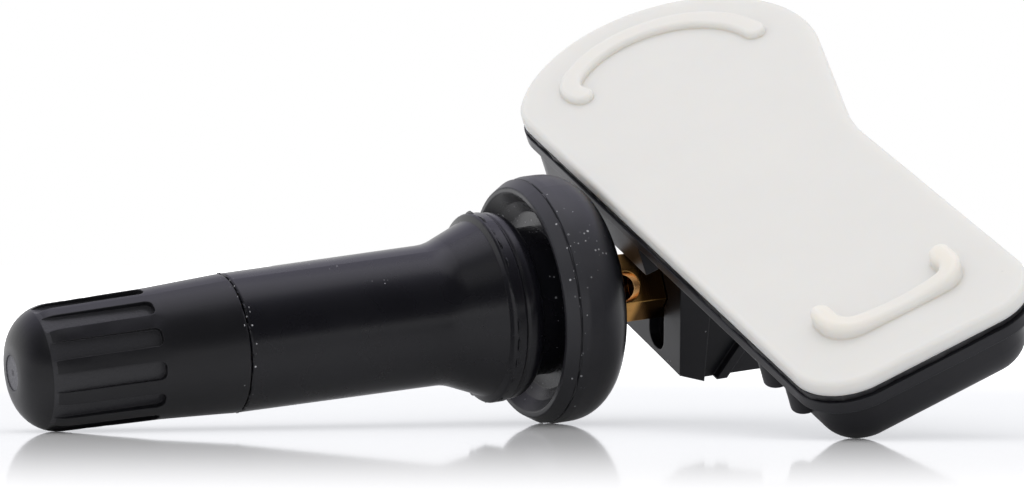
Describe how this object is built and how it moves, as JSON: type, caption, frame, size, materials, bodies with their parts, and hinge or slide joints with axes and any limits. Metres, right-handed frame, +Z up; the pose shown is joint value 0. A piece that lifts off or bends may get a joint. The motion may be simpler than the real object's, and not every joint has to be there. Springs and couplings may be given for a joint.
{
  "type": "tyre pressure sensor",
  "caption": "Tyre pressure sensor on a rubber snap-in valve: fluted screw cap, brass stem with a sprung valve core, lobed black housing and an off-white ribbed cover.",
  "frame": {"origin": "on the valve's axis, in the plane of the band's face that bears on the wheel rim", "axes": "+Z up from the surface it lies on, -X towards the cap in plan, with the valve's axis in the XZ plane"},
  "size_m": [0.0682, 0.056, 0.0339],
  "materials": {
    "cap_plastic": "semi-gloss black moulded plastic",
    "seal_rubber": "soft black rubber",
    "stem_rubber": "black moulded rubber with a soft sheen and a little dust",
    "valve_brass": "turned and milled brass",
    "core_brass": "fine turned brass",
    "spring_steel": "drawn spring wire",
    "screw_steel": "zinc plated steel",
    "housing_plastic": "black glass-filled moulded plastic",
    "cover_plastic": "off-white satin moulded plastic",
    "board_laminate": "green solder mask over laminate",
    "cell_can": "nickel plated steel can",
    "tab_nickel": "rolled nickel strip",
    "chip_package": "black moulded chip package",
    "gasket_rubber": "grey silicone rubber",
    "ferrite": "dark sintered ferrite",
    "winding_copper": "enamelled copper wire",
    "crystal_can": "drawn metal can",
    "antenna_metal": "tinned spring bronze strip",
    "capacitor_ceramic": "brown ceramic with tinned ends"
  },
  "bodies": {
    "sensor": {"rubber_stem": "stem_rubber", "brass_stem": "valve_brass", "core_plug": "core_brass", "core_barrel": "core_brass", "core_seal": "seal_rubber", "core_spring": "spring_steel", "mounting_screw": "screw_steel", "sensor_housing": "housing_plastic", "cover": "cover_plastic", "circuit_board": "board_laminate", "battery": "cell_can", "positive_tab": "tab_nickel", "negative_tab": "tab_nickel", "pressure_chip": "chip_package", "port_gasket": "gasket_rubber", "coil_core": "ferrite", "coil_winding": "winding_copper", "crystal": "crystal_can", "antenna": "antenna_metal", "chip_capacitors": "capacitor_ceramic"},
    "cap_washer": {"cap_seal": "seal_rubber"},
    "cap": {"valve_cap": "cap_plastic"},
    "pin": {"core_pin": "core_brass", "core_cup": "core_brass", "core_cup_seal": "seal_rubber"}
  },
  "joints": [
    {"name": "cap_lift", "type": "slide", "parent": "sensor", "child": "cap_washer", "axis": [-0.9926, 0, -0.1218], "range_m": [0, 0.00476]},
    {"name": "cap_turn", "type": "hinge", "parent": "cap_washer", "child": "cap", "pos_m": [0, 0, 0], "axis": [-0.9926, 0, -0.1218], "range_deg": [0, 2160]},
    {"name": "core_pin_press", "type": "slide", "parent": "sensor", "child": "pin", "axis": [0.9926, 0, 0.1218], "range_m": [0, 0.0012], "stiffness_N_per_m": 1500, "springref_m": -0.002, "deforming": ["core_spring"]}
  ],
  "couplings": [
    {"joint": "cap_turn", "follows": "cap_lift", "rad_per_m": 7915.8}
  ]
}
